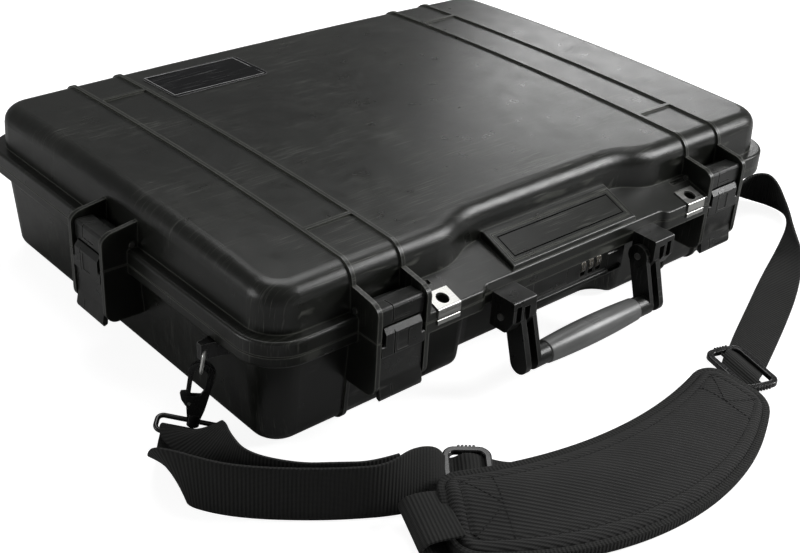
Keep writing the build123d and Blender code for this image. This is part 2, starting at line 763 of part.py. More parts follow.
# Top of the link, in the hole of the right-hand bracket, with its own X along the wire there.
def linkSpot():
    x = bodyHalfX + bracketProud - 5.0
    return Pos(x, strapY, strapZ) * Rot(0, -linkLean, 0) * Rot(0, 0, 90 + linkTurn)


def strapLink(wire):
    return linkSpot() * Pos(0, 0, -linkTall / 2) * wireLoop(2 * linkHalf, linkTall, 0.98 * linkHalf, wire)


# A strap bracket on the right-hand wall: a wedge, with the link's way through its tip.
def strapBracket():
    inside = bodyHalfX - wall
    tip = bodyHalfX + bracketProud
    half = bracketWide / 2
    outline = Polyline((inside, -half), (tip - 10, -0.6 * half), (tip, -0.3 * half), (tip, 0.3 * half),
                       (tip - 10, 0.6 * half), (inside, half), close=True)
    lug = Pos(0, strapY, strapZ - bracketTall / 2) * extrude(make_face(outline), bracketTall)
    return lug - baseBlock(0, baseRecess) - strapLink(linkWire + linkRoom)


# Spot of the trigger hook: its foot, with its own X across it, Z up and Y through its sheet.
def hookSpot():
    room = linkHalf - linkWire
    seat = linkHalf - math.sqrt(room ** 2 - (hookSheet / 2) ** 2) + 0.3
    foot = -linkTall + seat + hookWire - hookTall
    return linkSpot() * Rot(0, 0, 90) * Pos(0, 0, foot)


def flatPiece(points, sheet):
    face = make_face(Polyline(*[(x, z) for x, z, _ in points], close=True))
    for x, z, radius in points:
        if radius:
            face = fillet(face.vertices().sort_by_distance((x, z, 0))[0], radius)
    return extrude(Plane.XZ * face, sheet / 2, both=True)


def acrossSheet(radius, x, z, long):
    return Pos(x, 0, z) * Cylinder(radius, long, rotation=(90, 0, 0))


def hookBody():
    top = hookTall - hookBow
    stem = flatPiece([(-3.6, 0, 0), (3.6, 0, 0), (6.0, 10, 4), (hookBow, top - 3, 3), (hookBow, top, 0),
                      (-hookBow, top, 0), (1.6 - hookBow, 17, 1), (-6.5, 14, 0)], hookSheet)
    hook = acrossSheet(hookBow, 0, top, hookSheet) + stem
    hook += Pos(0, 0, 1) * Cylinder(footRadius, 8)
    inner = hookBow - hookWire
    throat = flatPiece([(inner, top, 0), (inner - 0.6, 24, 0), (1.5, 19, 1.5), (-4.2, 18, 0),
                        (-2 * hookBow, 16.5, 0), (-2 * hookBow, top - 1, 0), (-inner, top - 1, 0),
                        (-inner, top, 0)], 2 * hookSheet)
    room = flatPiece([(-2 * hookBow, 9.0, 0), (-2.0, 9.0, 0), (-1.2, 20.0, 0), (-2 * hookBow, 20.0, 0)],
                     gateSheet + 0.8)
    hook -= acrossSheet(inner, 0, top, 2 * hookSheet) + throat + room
    hook -= acrossSheet(gatePin, *gatePivot, 2 * hookSheet)
    hook -= barX(loopWire + linkRoom, 0, 0, -hookTall, hookTall)
    return hook.solids().sort_by(SortBy.VOLUME)[-1]


def hookGate():
    top = hookTall - hookBow - 1.6
    gate = flatPiece([(-6.4, 10.2, 1), (-3.0, 10.2, 1), (-4.8, 19.0, 0), (-5.0, top, 0.6), (-7.8, top, 0.6),
                      (-7.6, 20.0, 0.6), (-11.4, 19.0, 0.8), (-9.6, 14.0, 0.6)], gateSheet)
    return gate - acrossSheet(gatePin + runningGap, *gatePivot, 2 * hookSheet)


def hookPin():
    return acrossSheet(gatePin, *gatePivot, hookSheet)


# The loop in the hook's foot, leaning outward to where the webbing goes round its far bar.
def hookLoop():
    return Rot(loopLean, 0, 0) * Pos(0, 0, -loopTall / 2) * wireLoop(loopWide, loopTall, 4.0, loopWire)


# The webbing's back and front edges at the far bar of the right-hand loop, raised from the wire.
def barPlace(rise):
    bar = hookSpot() * Rot(loopLean, 0, 0)
    ends = [(bar * Pos(end * webWidth / 2, 0, -loopTall)).position for end in (-1, 1)]
    return tuple((end.X, end.Y, end.Z + rise) for end in ends)


def leftBarPlace(rise):
    return tuple((-x, y, z) for x, y, z in barPlace(rise))


# Direction of a route at one of its places, and the way up from the webbing there.
def routeWay(route, place):
    middles = [(Vector(*low) + Vector(*up)) * 0.5 for low, up in route]
    ahead = middles[min(place + 1, len(route) - 1)] - middles[max(place - 1, 0)]
    low, up = (Vector(*point) for point in route[place])
    across = (up - low).normalized()
    normal = across.cross(ahead).normalized()
    way = ahead - across * ahead.dot(across)
    return way.normalized(), normal if normal.Z > 0 else normal * -1


# The level way through a slider at a route's place, and the way up from its face.
def sliderWay(route, place):
    way, _ = routeWay(route, place)
    low, up = (Vector(*point) for point in route[place])
    across = (up - low).normalized()
    level = Vector(way.X, way.Y, 0)
    level = (level - across * level.dot(across)).normalized()
    normal = across.cross(level)
    return level, normal if normal.Z > 0 else normal * -1


# A route led through a slider at one of its places: under the long bars and over the middle bar.
def threaded(route, place):
    way, normal = sliderWay(route, place)
    under = -(sliderSheet + webSheet) / 2 - webGap
    over = webSheet / 2 + webGap
    reach = sliderWide / 2 - sliderBar
    steps = ((-reach - sliderBar - webLead, under), (-reach, under), (-sliderBar / 2 - webGap, over),
             (sliderBar / 2 + webGap, over), (reach, under), (reach + sliderBar + webLead, under))
    middle = [tuple(Vector(*point) + way * step + normal * rise for point in route[place]) for step, rise in steps]
    return route[:place] + middle + route[place + 1:]


# A ribbon of webbing through a route of lower and upper edges.
def ribbon(route):
    sections = []
    for place, (low, up) in enumerate(route):
        way, _ = routeWay(route, place)
        low, up = Vector(*low), Vector(*up)
        plane = Plane(origin=(low + up) * 0.5, x_dir=up - low, z_dir=way)
        sections.append(plane * Rectangle(webWidth, webSheet))
    return loft(sections, ruled=True)


# A slider: a rounded frame with a middle bar that the webbing goes over, and ridges on its ends.
def slider():
    hole = RectangleRounded(sliderLong - 2 * sliderBar, sliderWide - 2 * sliderBar, sliderCorner / 2)
    frame = extrude(RectangleRounded(sliderLong, sliderWide, sliderCorner) - hole, sliderSheet / 2, both=True)
    frame = fillet(frame.faces().sort_by(Axis.Z)[-1].edges(), sliderEdge)
    frame += Pos(0, 0, -sliderSheet / 4) * Box(sliderLong - sliderBar, sliderBar, sliderSheet / 2)
    for end in (-1, 1):
        for ridge in range(ridgeCount):
            y = (ridge - (ridgeCount - 1) / 2) * ridgePitch
            frame += Pos(end * sliderLong / 2, y, 0) * Cylinder(ridgeRadius, sliderSheet)
    return frame


# Where a slider lies: on a route's place, with X from the lower edge to the upper one.
def sliderSpot(route, place):
    _, normal = sliderWay(route, place)
    low, up = (Vector(*point) for point in route[place])
    return Plane(origin=(low + up) * 0.5, x_dir=up - low, z_dir=normal).location


# The shoulder pad: a flat crescent with a crowned top.
def shoulderPad():
    with BuildSketch() as plan:
        with BuildLine():
            ThreePointArc(padBack[0], padBack[1], padBack[2])
            Line(padBack[2], padFront[0])
            ThreePointArc(padFront[0], padFront[1], padFront[2])
            Line(padFront[2], padBack[0])
        make_face()
        fillet(plan.vertices(), padCorner)
    pad = extrude(plan.sketch, padSheet - padCrown)
    top = extrude(Pos(0, 0, padSheet - padCrown) * plan.sketch, padCrown, taper=padTaper)
    middle = (padBack[2][0] + padFront[2][0]) / 2
    return Pos(middle, 0, padLift) * Rot(0, padTilt, 0) * Pos(-middle, 0, 0) * (pad + top)


def writeParts(nodes, strapNodes):
    own = Compound([solid for name, shape in nodes.items() if name not in strapNodes
                    for solid in shape.solids()])
    box = own.bounding_box()
    shift = Pos(-(box.min.X + box.max.X) / 2, -(box.min.Y + box.max.Y) / 2, -box.min.Z)
    os.makedirs("parts", exist_ok=True)
    for name, shape in nodes.items():
        solids = shape.solids()
        moved = [shift * solid for solid in solids]
        export_step(moved[0] if len(moved) == 1 else Compound(moved), f"parts/{name}.step")
    return shift


def asShape(solids):
    return Compound([solid for shape in solids for solid in shape.solids()])


def mirrored(shape):
    return shape.mirror(Plane.YZ)


def buildNodes():
    nodes = {"base_shell": baseShell(), "lid_shell": lidShell()}
    nodes["lid_seal"] = sealRing(sealGap)
    nodes["lid_foam"], nodes["base_foam"] = foams()
    nodes["label_plate"] = labelPlate()
    nodes["name_panel"] = panelSheetBox(panelGap)
    half = 2.5 * knucklePitch
    for name, side in sides.items():
        nodes[f"padlock_plate_lid_{name}"], nodes[f"padlock_plate_base_{name}"] = padlockPlates(side)
        nodes[f"hinge_pin_{name}"] = barX(hingePin, hingeY, seamHeight, side * hingeX - half, side * hingeX + half)
    claw, lever = latchClaw(), latchLever()
    pin = barX(leverPinRadius, leverPinY, leverPinZ, -latchHalf, latchHalf)
    for name, spot in latchSpots.items():
        nodes[f"latch_claw_{name}"] = spot * claw
        nodes[f"latch_lever_{name}"] = spot * lever
        nodes[f"latch_pin_{name}"] = spot * pin
    nodes["latch_pivot_pins"] = asShape(clawPins())
    bracket = handleBracket()
    nodes["handle_bracket_left"], nodes["handle_bracket_right"] = mirrored(bracket), bracket
    nodes["handle_frame"] = tilted(handleFrame())
    nodes["handle_grip"] = tilted(handleGrip())
    nodes["handle_pins"] = asShape(handlePins())
    nodes["lock_housing"] = lockHousing()
    nodes.update(lockParts())
    right = {"strap_bracket": strapBracket(), "strap_link": strapLink(linkWire), "hook_body": hookSpot() * hookBody(),
             "hook_gate": hookSpot() * hookGate(), "hook_pin": hookSpot() * hookPin(),
             "hook_loop": hookSpot() * hookLoop()}
    for name, shape in right.items():
        nodes[f"{name}_left"], nodes[f"{name}_right"] = mirrored(shape), shape
    rise = loopWire + webSheet / 2 + webGap
    routes = {"left": [leftBarPlace(-rise)[::-1]] + outerRoute, "right": rightRoute + [barPlace(rise)]}
    for side, route in routes.items():
        nodes[f"webbing_{side}"] = ribbon(threaded(route, sliderPlace[side]))
        nodes[f"slider_{side}"] = sliderSpot(route, sliderPlace[side]) * slider()
    nodes["webbing_inner_left"] = ribbon([leftBarPlace(rise)] + innerRoute)
    nodes["webbing_fold"] = ribbon(foldRoute)
    nodes["shoulder_pad"] = shoulderPad()
    return nodes


nodes = buildNodes()
strapNodes = {name for name in nodes if name.startswith(("hook_", "webbing_", "slider_", "shoulder_"))}
shift = writeParts(nodes, strapNodes)
print("shift", shift.position)
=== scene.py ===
import math

import bmesh
import bpy
from mathutils import Matrix, Vector


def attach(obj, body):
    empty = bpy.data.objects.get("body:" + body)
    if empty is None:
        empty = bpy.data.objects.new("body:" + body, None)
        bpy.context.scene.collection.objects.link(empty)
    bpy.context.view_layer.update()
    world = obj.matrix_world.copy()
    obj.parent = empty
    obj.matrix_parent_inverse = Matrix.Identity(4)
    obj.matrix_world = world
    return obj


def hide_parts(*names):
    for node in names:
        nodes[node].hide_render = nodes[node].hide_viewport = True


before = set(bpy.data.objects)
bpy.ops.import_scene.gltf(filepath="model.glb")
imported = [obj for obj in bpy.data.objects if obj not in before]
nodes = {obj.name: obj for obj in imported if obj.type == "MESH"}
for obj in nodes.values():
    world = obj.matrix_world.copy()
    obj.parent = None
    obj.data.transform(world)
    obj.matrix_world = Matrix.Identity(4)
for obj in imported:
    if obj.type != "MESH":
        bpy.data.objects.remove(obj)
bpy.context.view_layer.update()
scene = bpy.context.scene
scene.view_settings.view_transform = "Standard"
originShift = 11.8089  # mm, from the middle of the case to the part's origin
print("stage: frame loaded")


def place(point):
    return Vector((point[0], point[1] + originShift, point[2])) / 1000


# ---- camera
camera = {"azimuth": -42.83, "elevation": 30.15, "roll": 3.54, "spot": (-619.4, -688.5, 504.3), "lens": 57.96,
          "sensor": 36, "near": 0.01}


def makeCamera(look):
    turn, rise, roll = (math.radians(look[key]) for key in ("azimuth", "elevation", "roll"))
    back = Vector((math.sin(turn) * math.cos(rise), -math.cos(turn) * math.cos(rise), math.sin(rise)))
    right = Vector((0, 0, 1)).cross(back).normalized()
    up = back.cross(right)
    tiltedRight = right * math.cos(roll) + up * math.sin(roll)
    tiltedUp = up * math.cos(roll) - right * math.sin(roll)
    matrix = Matrix((tiltedRight, tiltedUp, back)).transposed().to_4x4()
    matrix.translation = place(look["spot"])
    data = bpy.data.cameras.new("camera")
    data.sensor_width = look["sensor"]
    data.lens = look["lens"]
    data.clip_start = look["near"]
    obj = bpy.data.objects.new("camera", data)
    scene.collection.objects.link(obj)
    obj.matrix_world = matrix
    scene.camera = obj


makeCamera(camera)


# ---- materials
def node(tree, kind, inputs=None, **settings):
    made = tree.nodes.new(kind)
    for key, value in settings.items():
        setattr(made, key, value)
    for key, value in (inputs or {}).items():
        if isinstance(value, bpy.types.NodeSocket):
            tree.links.new(value, made.inputs[key])
        else:
            made.inputs[key].default_value = value
    return made


def blank(name):
    material = bpy.data.materials.new(name)
    material.use_nodes = True
    return material, material.node_tree, material.node_tree.nodes["Principled BSDF"]


def objectPlace(tree, scale=(1, 1, 1), turn=(0, 0, 0)):
    coords = node(tree, "ShaderNodeTexCoord").outputs["Object"]
    return node(tree, "ShaderNodeMapping", {"Vector": coords, "Scale": scale, "Rotation": turn}).outputs[0]


def noise(tree, scale, detail=3.0, where=None, rough=0.5):
    inputs = {"Vector": where or objectPlace(tree), "Scale": scale, "Detail": detail, "Roughness": rough}
    return node(tree, "ShaderNodeTexNoise", inputs).outputs["Fac"]


def remap(tree, value, low, high, toLow=0.0, toHigh=1.0):
    inputs = {"Value": value, "From Min": low, "From Max": high, "To Min": toLow, "To Max": toHigh}
    return node(tree, "ShaderNodeMapRange", inputs).outputs[0]


# The mix node's sockets by number, because its float and colour sockets share their names.
mixSockets = {"factor": 0, "one": 6, "other": 7}


def mixColour(tree, factor, one, other):
    made = node(tree, "ShaderNodeMix", data_type="RGBA")
    for key, value in zip(mixSockets.values(), (factor, one, other)):
        if isinstance(value, bpy.types.NodeSocket):
            tree.links.new(value, made.inputs[key])
        else:
            made.inputs[key].default_value = value if key == mixSockets["factor"] else (*value, 1)
    return made.outputs[2]


def maths(tree, kind, one, other=0.0):
    return node(tree, "ShaderNodeMath", {0: one, 1: other}, operation=kind).outputs[0]


# One where the surface turns within the radius of an edge, nought on flat faces.
edgeBand = (0.985, 0.88)


def edgeMask(tree, radius):
    soft = node(tree, "ShaderNodeBevel", {"Radius": radius}, samples=4).outputs[0]
    sharp = node(tree, "ShaderNodeNewGeometry").outputs["Normal"]
    same = node(tree, "ShaderNodeVectorMath", {0: soft, 1: sharp}, operation="DOT_PRODUCT").outputs["Value"]
    return remap(tree, same, *edgeBand)


# Moulded plastic: tone patches, a fine grain, fine scuffs in two directions and paler edges, partly wear and
# partly painted highlight.
plasticWork = {"tones": (0.35, 0.65), "toneDetail": 4, "scuffTurns": ((0.75, 0.0), (-0.95, 3.7)),
               "scuffTilt": 0.1, "scuffScale": (30, 1500, 60), "scuffBand": (0.6, 0.7), "sparse": 13,
               "sparseBand": (0.46, 0.64), "gloss": 60, "glossDetail": 5, "glossBand": (0.3, 0.7),
               "duller": 0.12, "grainDetail": 4,
               "grainRough": 0.6, "grainStrong": 0.7, "dentDeep": 0.00002, "dentStrong": 0.4}


def scuffMask(tree):
    work = plasticWork
    scuffs = None
    for turn, seed in work["scuffTurns"]:
        along, across, through = work["scuffScale"]
        where = objectPlace(tree, (along + seed, across, through), (work["scuffTilt"], 0, turn))
        streak = remap(tree, noise(tree, 1.0, 2, where), *work["scuffBand"])
        sparse = remap(tree, noise(tree, work["sparse"] + seed, 2), *work["sparseBand"])
        mark = maths(tree, "MULTIPLY", streak, sparse)
        scuffs = mark if scuffs is None else maths(tree, "MAXIMUM", scuffs, mark)
    return scuffs


def mouldedPlastic(name, look):
    work = plasticWork
    material, tree, shader = blank(name)
    patches = remap(tree, noise(tree, look["patch"], work["toneDetail"]), *work["tones"])
    tone = mixColour(tree, patches, look["colour"], look["paler"])
    scuffs = scuffMask(tree)
    worn = mixColour(tree, maths(tree, "MULTIPLY", scuffs, look["scuff"]), tone, look["mark"])
    # Edges are painted towards the mark colour: partly wear, partly painted highlight.
    edge = maths(tree, "MULTIPLY", edgeMask(tree, look["edgeWide"]), look["edge"])
    colour = mixColour(tree, edge, worn, look["mark"])
    tree.links.new(colour, shader.inputs["Base Color"])
    cloudy = noise(tree, work["gloss"], work["glossDetail"])
    gloss = remap(tree, cloudy, *work["glossBand"], *look["roughness"])
    rough = maths(tree, "ADD", gloss, maths(tree, "MULTIPLY", scuffs, work["duller"]))
    tree.links.new(rough, shader.inputs["Roughness"])
    height = noise(tree, look["grain"], work["grainDetail"], rough=work["grainRough"])
    grain = node(tree, "ShaderNodeBump", {"Height": height, "Distance": look["deep"],
                                          "Strength": work["grainStrong"]}).outputs[0]
    dent = {"Height": scuffs, "Distance": work["dentDeep"], "Strength": work["dentStrong"], "Normal": grain}
    tree.links.new(node(tree, "ShaderNodeBump", dent, invert=True).outputs[0], shader.inputs["Normal"])
    shader.inputs["Specular IOR Level"].default_value = look["shine"]
    return material


# Metal with tone, roughness and bumps drawn out along its brushing, and paler edges, partly wear and partly
# painted highlight.
metalWork = {"tones": (0.3, 0.7), "glossBand": (0.25, 0.75), "edgeWide": 0.0006, "deep": 0.00005,
             "strong": 0.5}


def metal(name, look):
    material, tree, shader = blank(name)
    streak = noise(tree, 1.0, 3, objectPlace(tree, look["brush"]))
    tone = mixColour(tree, remap(tree, streak, *metalWork["tones"]), look["colour"], look["paler"])
    # Edges are painted towards the mark colour: partly wear, partly painted highlight.
    edge = maths(tree, "MULTIPLY", edgeMask(tree, metalWork["edgeWide"]), look["edge"])
    tree.links.new(mixColour(tree, edge, tone, look["mark"]), shader.inputs["Base Color"])
    gloss = remap(tree, streak, *metalWork["glossBand"], *look["roughness"])
    tree.links.new(gloss, shader.inputs["Roughness"])
    bump = node(tree, "ShaderNodeBump", {"Height": streak, "Distance": metalWork["deep"],
                                         "Strength": metalWork["strong"]}).outputs[0]
    tree.links.new(bump, shader.inputs["Normal"])
    shader.inputs["Metallic"].default_value = look["metallic"]
    return material


# Woven fabric on the piece's own UV map, in metres: ribs across, threads along and a little fluff.
clothWork = {"ribShare": 0.7, "threadShare": 0.3, "weaveShare": 0.75, "fluffShare": 0.25, "fluff": 2600,
             "patch": 30, "patchBand": (0.3, 0.7), "patchTone": 0.12, "roughness": 0.88,
             "sheenRoughness": 0.5, "strong": 0.8, "fluffDeep": 0.0001, "fluffStrong": 0.5}


def waves(tree, value, pitch):
    return remap(tree, maths(tree, "SINE", maths(tree, "MULTIPLY", value, math.tau / pitch)), -1, 1)


def shares(tree, one, oneShare, other, otherShare):
    first = maths(tree, "MULTIPLY", one, oneShare)
    return maths(tree, "ADD", first, maths(tree, "MULTIPLY", other, otherShare))


def weave(name, look):
    work = clothWork
    material, tree, shader = blank(name)
    uv = node(tree, "ShaderNodeUVMap", uv_map="cloth").outputs[0]
    parts = node(tree, "ShaderNodeSeparateXYZ", {0: uv}).outputs
    slant = maths(tree, "MULTIPLY", parts["Y"], look["slant"])
    ribs = waves(tree, maths(tree, "ADD", parts["X"], slant), look["rib"])
    threads = waves(tree, parts["Y"], look["thread"])
    fluff = noise(tree, work["fluff"], 2)
    height = shares(tree, ribs, work["ribShare"], threads, work["threadShare"])
    shade = shares(tree, height, work["weaveShare"], fluff, work["fluffShare"])
    patch = remap(tree, noise(tree, work["patch"]), *work["patchBand"], -work["patchTone"], work["patchTone"])
    tone = mixColour(tree, maths(tree, "ADD", shade, patch), look["dark"], look["colour"])
    tree.links.new(tone, shader.inputs["Base Color"])
    shader.inputs["Roughness"].default_value = work["roughness"]
    shader.inputs["Sheen Weight"].default_value = look["sheen"]
    shader.inputs["Sheen Roughness"].default_value = work["sheenRoughness"]
    bump = node(tree, "ShaderNodeBump", {"Height": height, "Distance": look["deep"],
                                         "Strength": work["strong"]}).outputs[0]
    fine = node(tree, "ShaderNodeBump", {"Height": fluff, "Distance": work["fluffDeep"],
                                         "Strength": work["fluffStrong"], "Normal": bump}).outputs[0]
    tree.links.new(fine, shader.inputs["Normal"])
    return material


# Foam: open cells, darker in their middles. It also serves for the thread.
foamWork = {"cells": 700, "shadeBand": (0, 0.7), "shade": 0.35, "roughness": 0.95, "deep": 0.0006,
            "strong": 0.8}


def foamLook(name, colour):
    work = foamWork
    material, tree, shader = blank(name)
    where = {"Vector": objectPlace(tree), "Scale": work["cells"]}
    cells = node(tree, "ShaderNodeTexVoronoi", where).outputs["Distance"]
    darker = [part * work["shade"] for part in colour]
    tone = mixColour(tree, remap(tree, cells, *work["shadeBand"]), colour, darker)
    tree.links.new(tone, shader.inputs["Base Color"])
    shader.inputs["Roughness"].default_value = work["roughness"]
    bump = {"Height": cells, "Distance": work["deep"], "Strength": work["strong"]}
    tree.links.new(node(tree, "ShaderNodeBump", bump, invert=True).outputs[0], shader.inputs["Normal"])
    return material


plasticLooks = {
    "shellPlastic": {"colour": (0.0062, 0.0069, 0.0054), "paler": (0.0095, 0.0103, 0.0082), "patch": 7,
        "scuff": 0.75, "mark": (0.12, 0.123, 0.108), "edge": 1.0, "edgeWide": 0.0018,
        "roughness": (0.27, 0.35), "grain": 1500, "deep": 0.00012, "shine": 0.5},
    "trimPlastic": {"colour": (0.0045, 0.005, 0.0042), "paler": (0.0085, 0.009, 0.008), "patch": 45,
        "scuff": 0.6, "mark": (0.11, 0.11, 0.105), "edge": 0.9, "edgeWide": 0.0009,
        "roughness": (0.24, 0.38), "grain": 1900, "deep": 0.0001, "shine": 0.5},
    "glossPlastic": {"colour": (0.008, 0.008, 0.008), "paler": (0.014, 0.014, 0.014), "patch": 40,
        "scuff": 0.2, "mark": (0.2, 0.2, 0.195), "edge": 0.9, "edgeWide": 0.0008, "roughness": (0.12, 0.22),
        "grain": 3000, "deep": 0.00002, "shine": 0.5},
    "gripPlastic": {"colour": (0.12, 0.122, 0.12), "paler": (0.16, 0.162, 0.16), "patch": 30, "scuff": 0.3,
        "mark": (0.25, 0.25, 0.25), "edge": 0.2, "edgeWide": 0.0006, "roughness": (0.26, 0.34),
        "grain": 2400, "deep": 0.00004, "shine": 0.5},
    "labelPlastic": {"colour": (0.001, 0.0012, 0.0018), "paler": (0.002, 0.0022, 0.003), "patch": 40,
        "scuff": 0.3, "mark": (0.3, 0.3, 0.3), "edge": 1.0, "edgeWide": 0.0009, "roughness": (0.12, 0.18),
        "grain": 2600, "deep": 0.00002, "shine": 0.12},
    "paleInk": {"colour": (0.26, 0.26, 0.26), "paler": (0.32, 0.32, 0.32), "patch": 40, "scuff": 0.2,
        "mark": (0.3, 0.3, 0.3), "edge": 0.1, "edgeWide": 0.0003, "roughness": (0.4, 0.5), "grain": 2600,
        "deep": 0.00001, "shine": 0.3},
    # painted shadow for the groove round the bare panel
    "grooveShadow": {"colour": (0.0005, 0.0005, 0.0005), "paler": (0.0008, 0.0008, 0.0008), "patch": 40,
        "scuff": 0.0, "mark": (0.001, 0.001, 0.001), "edge": 0.0, "edgeWide": 0.0003,
        "roughness": (0.8, 0.9), "grain": 2600, "deep": 0.00001, "shine": 0.05},
    "sealRubber": {"colour": (0.015, 0.015, 0.015), "paler": (0.022, 0.022, 0.022), "patch": 40,
        "scuff": 0.1, "mark": (0.06, 0.06, 0.06), "edge": 0.1, "edgeWide": 0.0005, "roughness": (0.7, 0.85),
        "grain": 1800, "deep": 0.0001, "shine": 0.3},
    "blackPaint": {"colour": (0.008, 0.008, 0.008), "paler": (0.012, 0.012, 0.012), "patch": 60,
        "scuff": 0.3, "mark": (0.16, 0.16, 0.15), "edge": 0.35, "edgeWide": 0.0005,
        "roughness": (0.2, 0.34), "grain": 1600, "deep": 0.00006, "shine": 0.6},
}
metalLooks = {
    "brushedSteel": {"colour": (0.42, 0.42, 0.4), "paler": (0.56, 0.56, 0.54), "mark": (0.85, 0.85, 0.83),
        "edge": 0.6, "brush": (30, 900, 900), "roughness": (0.24, 0.4), "metallic": 1},
    "brightWire": {"colour": (0.7, 0.7, 0.67), "paler": (0.8, 0.8, 0.77), "mark": (0.9, 0.9, 0.88),
        "edge": 0.3, "brush": (300, 300, 300), "roughness": (0.16, 0.28), "metallic": 0.6},
    "dialBrass": {"colour": (0.06, 0.055, 0.045), "paler": (0.1, 0.09, 0.075), "mark": (0.9, 0.86, 0.74),
        "edge": 1.0, "brush": (900, 200, 200), "roughness": (0.28, 0.42), "metallic": 0.7},
}
clothLooks = {
    "webbingCloth": {"colour": (0.013, 0.0135, 0.012), "dark": (0.001, 0.001, 0.001), "rib": 0.0024,
        "thread": 0.0009, "slant": 0.0, "deep": 0.0006, "sheen": 0.02},
    "padCloth": {"colour": (0.026, 0.026, 0.025), "dark": (0.001, 0.001, 0.001), "rib": 0.0034,
        "thread": 0.0012, "slant": 1.0, "deep": 0.0007, "sheen": 0.02},
}
foamColours = {"caseFoam": (0.05, 0.05, 0.052), "threadBlack": (0.018, 0.018, 0.0175)}
finishes = {name: mouldedPlastic(name, look) for name, look in plasticLooks.items()}
finishes.update({name: metal(name, look) for name, look in metalLooks.items()})
finishes.update({name: weave(name, look) for name, look in clothLooks.items()})
finishes.update({name: foamLook(name, colour) for name, colour in foamColours.items()})
print("stage: materials")

finishOf = {
    "shellPlastic": ("base_shell", "lid_shell", "name_panel"),
    "trimPlastic": ("handle_frame", "lock_housing", "lock_blank_plate", "lock_button", "latch_claw",
                    "latch_lever", "handle_bracket"),
    "glossPlastic": ("strap_bracket", "slider"),
    "gripPlastic": ("handle_grip",),
    "labelPlastic": ("label_plate",),
    "sealRubber": ("lid_seal",),
    "blackPaint": ("hook_body", "hook_gate", "hook_loop"),
    "brushedSteel": ("handle_pins", "lock_axle", "latch_pivot_pins", "hinge_pin", "latch_pin",
                     "padlock_plate", "hook_pin"),
    "brightWire": ("strap_link",),
    "dialBrass": ("lock_dial",),
    "caseFoam": ("lid_foam", "base_foam"),
}


def dress(obj, finish):
    obj.data.materials.clear()
    obj.data.materials.append(finishes[finish])


for finish, names in finishOf.items():
    for name, obj in nodes.items():
        if name.startswith(names):
            dress(obj, finish)
print("stage: case dressed")


# ---- webbing: two smooth edge lines, a flat strip between them and its thickness
webbing = {"wide": 38.0, "sheet": 1.8, "columns": 8, "steps": 8, "edge": 0.4, "edgeSteps": 2}
# Row and column of a face's corners, in the order of its loops.
quadCorners = ((0, 0), (0, 1), (1, 1), (1, 0))
# Each strip as pairs of points on its two edges, in millimetres from the middle of the case.
routes = {
    "webbing_inner_left": [
        ((-212, -259, 0.9), (-209, -255, 35)), ((-226, -252, 1), (-226, -252, 38)),
        ((-243, -240, 1), (-243, -240, 39)), ((-262, -227, 1), (-262, -227, 39)),
        ((-281, -200, 1), (-280, -201, 39)), ((-287, -168, 4), (-277, -181, 39)),
        ((-289, -146, 8), (-269, -163, 35)), ((-293, -131, 12), (-267, -153, 25)),
        ((-289, -121, 16), (-262, -147, 11)), ((-284.5, -117, 11.5), (-257.5, -143, 6))],
    "webbing_left": [
        ((-284.5, -117, 11.5), (-257.5, -143, 6)), ((-290, -122, 7.6), (-263, -148, 2.2)),
        ((-299, -132, 3), (-273, -159, 1.4)), ((-312, -144, 16), (-289, -171, 1.2)),
        ((-316, -160, 34), (-306, -176, 1)), ((-308, -181, 39), (-307, -184, 1)),
        ((-297, -200, 39), (-297, -200, 1)), ((-282, -216, 39), (-282, -216, 1)),
        ((-263, -232, 39), (-263, -232, 1)), ((-244, -246, 39), (-244, -246, 1)),
        ((-221, -260, 39), (-221, -260, 1)), ((-193, -252, 34), (-204, -267, 1)),
        ((-175, -251, 25), (-194, -275, 3)), ((-161, -247, 4.2), (-184, -276, 2)),
        ((-152, -255, 12.8), (-175, -284, 8.8)), ((-141, -262, 6.4), (-163, -292, 2)),
        ((-130, -271, 3), (-150, -303, 3)), ((-112, -280, 2), (-125, -316, 2)),
        ((-95, -286, 2), (-104, -323, 2))],
    "webbing_fold": [
        ((-190, -323, 1), (-178, -287, 1)), ((-207, -317, 1), (-195, -281, 1)),
        ((-226, -305, 3), (-212, -270, 5)), ((-233, -301, 7), (-220, -267, 12)),
        ((-229, -303, 14), (-215, -268, 18)), ((-217, -308, 15), (-203, -273, 19)),
        ((-207, -312, 15), (-194, -277, 17))],
    "webbing_right": [
        ((62, -288, 2), (51, -324, 2)), ((73, -283, 1.2), (62, -319, 1.2)),
        ((84, -278, 7.4), (73, -314, 7.4)), ((97, -272, 1.2), (87, -308, 1.2)),
        ((116, -263, 2), (108, -300, 2)), ((158, -245, 2), (152, -282, 5)),
        ((198, -228, 2), (194, -263, 11)), ((257, -204, 2), (241, -236, 15)),
        ((298, -186, 2), (270, -206, 18)), ((318, -170, 2), (291, -186, 22)),
        ((321, -152, 1), (307, -157, 36)), ((316, -136, 1), (303, -146, 36)),
        ((309, -122, 3), (290, -140, 31)), ((301, -120, 11), (276, -143, 25)),
        ((290, -122, 15.5), (263, -148, 9.8)), ((286, -118, 11.5), (259, -144, 6)),
        ((291, -123, 8), (264, -149, 3.2))],
}


def smoothLine(points, steps):
    curve = bpy.data.curves.new("line", "CURVE")
    curve.dimensions = "3D"
    curve.resolution_u = steps
    spline = curve.splines.new("NURBS")
    spline.points.add(len(points) - 1)
    for spot, point in zip(spline.points, points):
        spot.co = (*point, 1)
    spline.order_u = 3
    spline.use_endpoint_u = True
    obj = bpy.data.objects.new("line", curve)
    scene.collection.objects.link(obj)
    bpy.context.view_layer.update()
    mesh = bpy.data.meshes.new_from_object(obj)
    line = [vertex.co.copy() for vertex in mesh.vertices]
    bpy.data.objects.remove(obj)
    bpy.data.curves.remove(curve)
    bpy.data.meshes.remove(mesh)
    return line


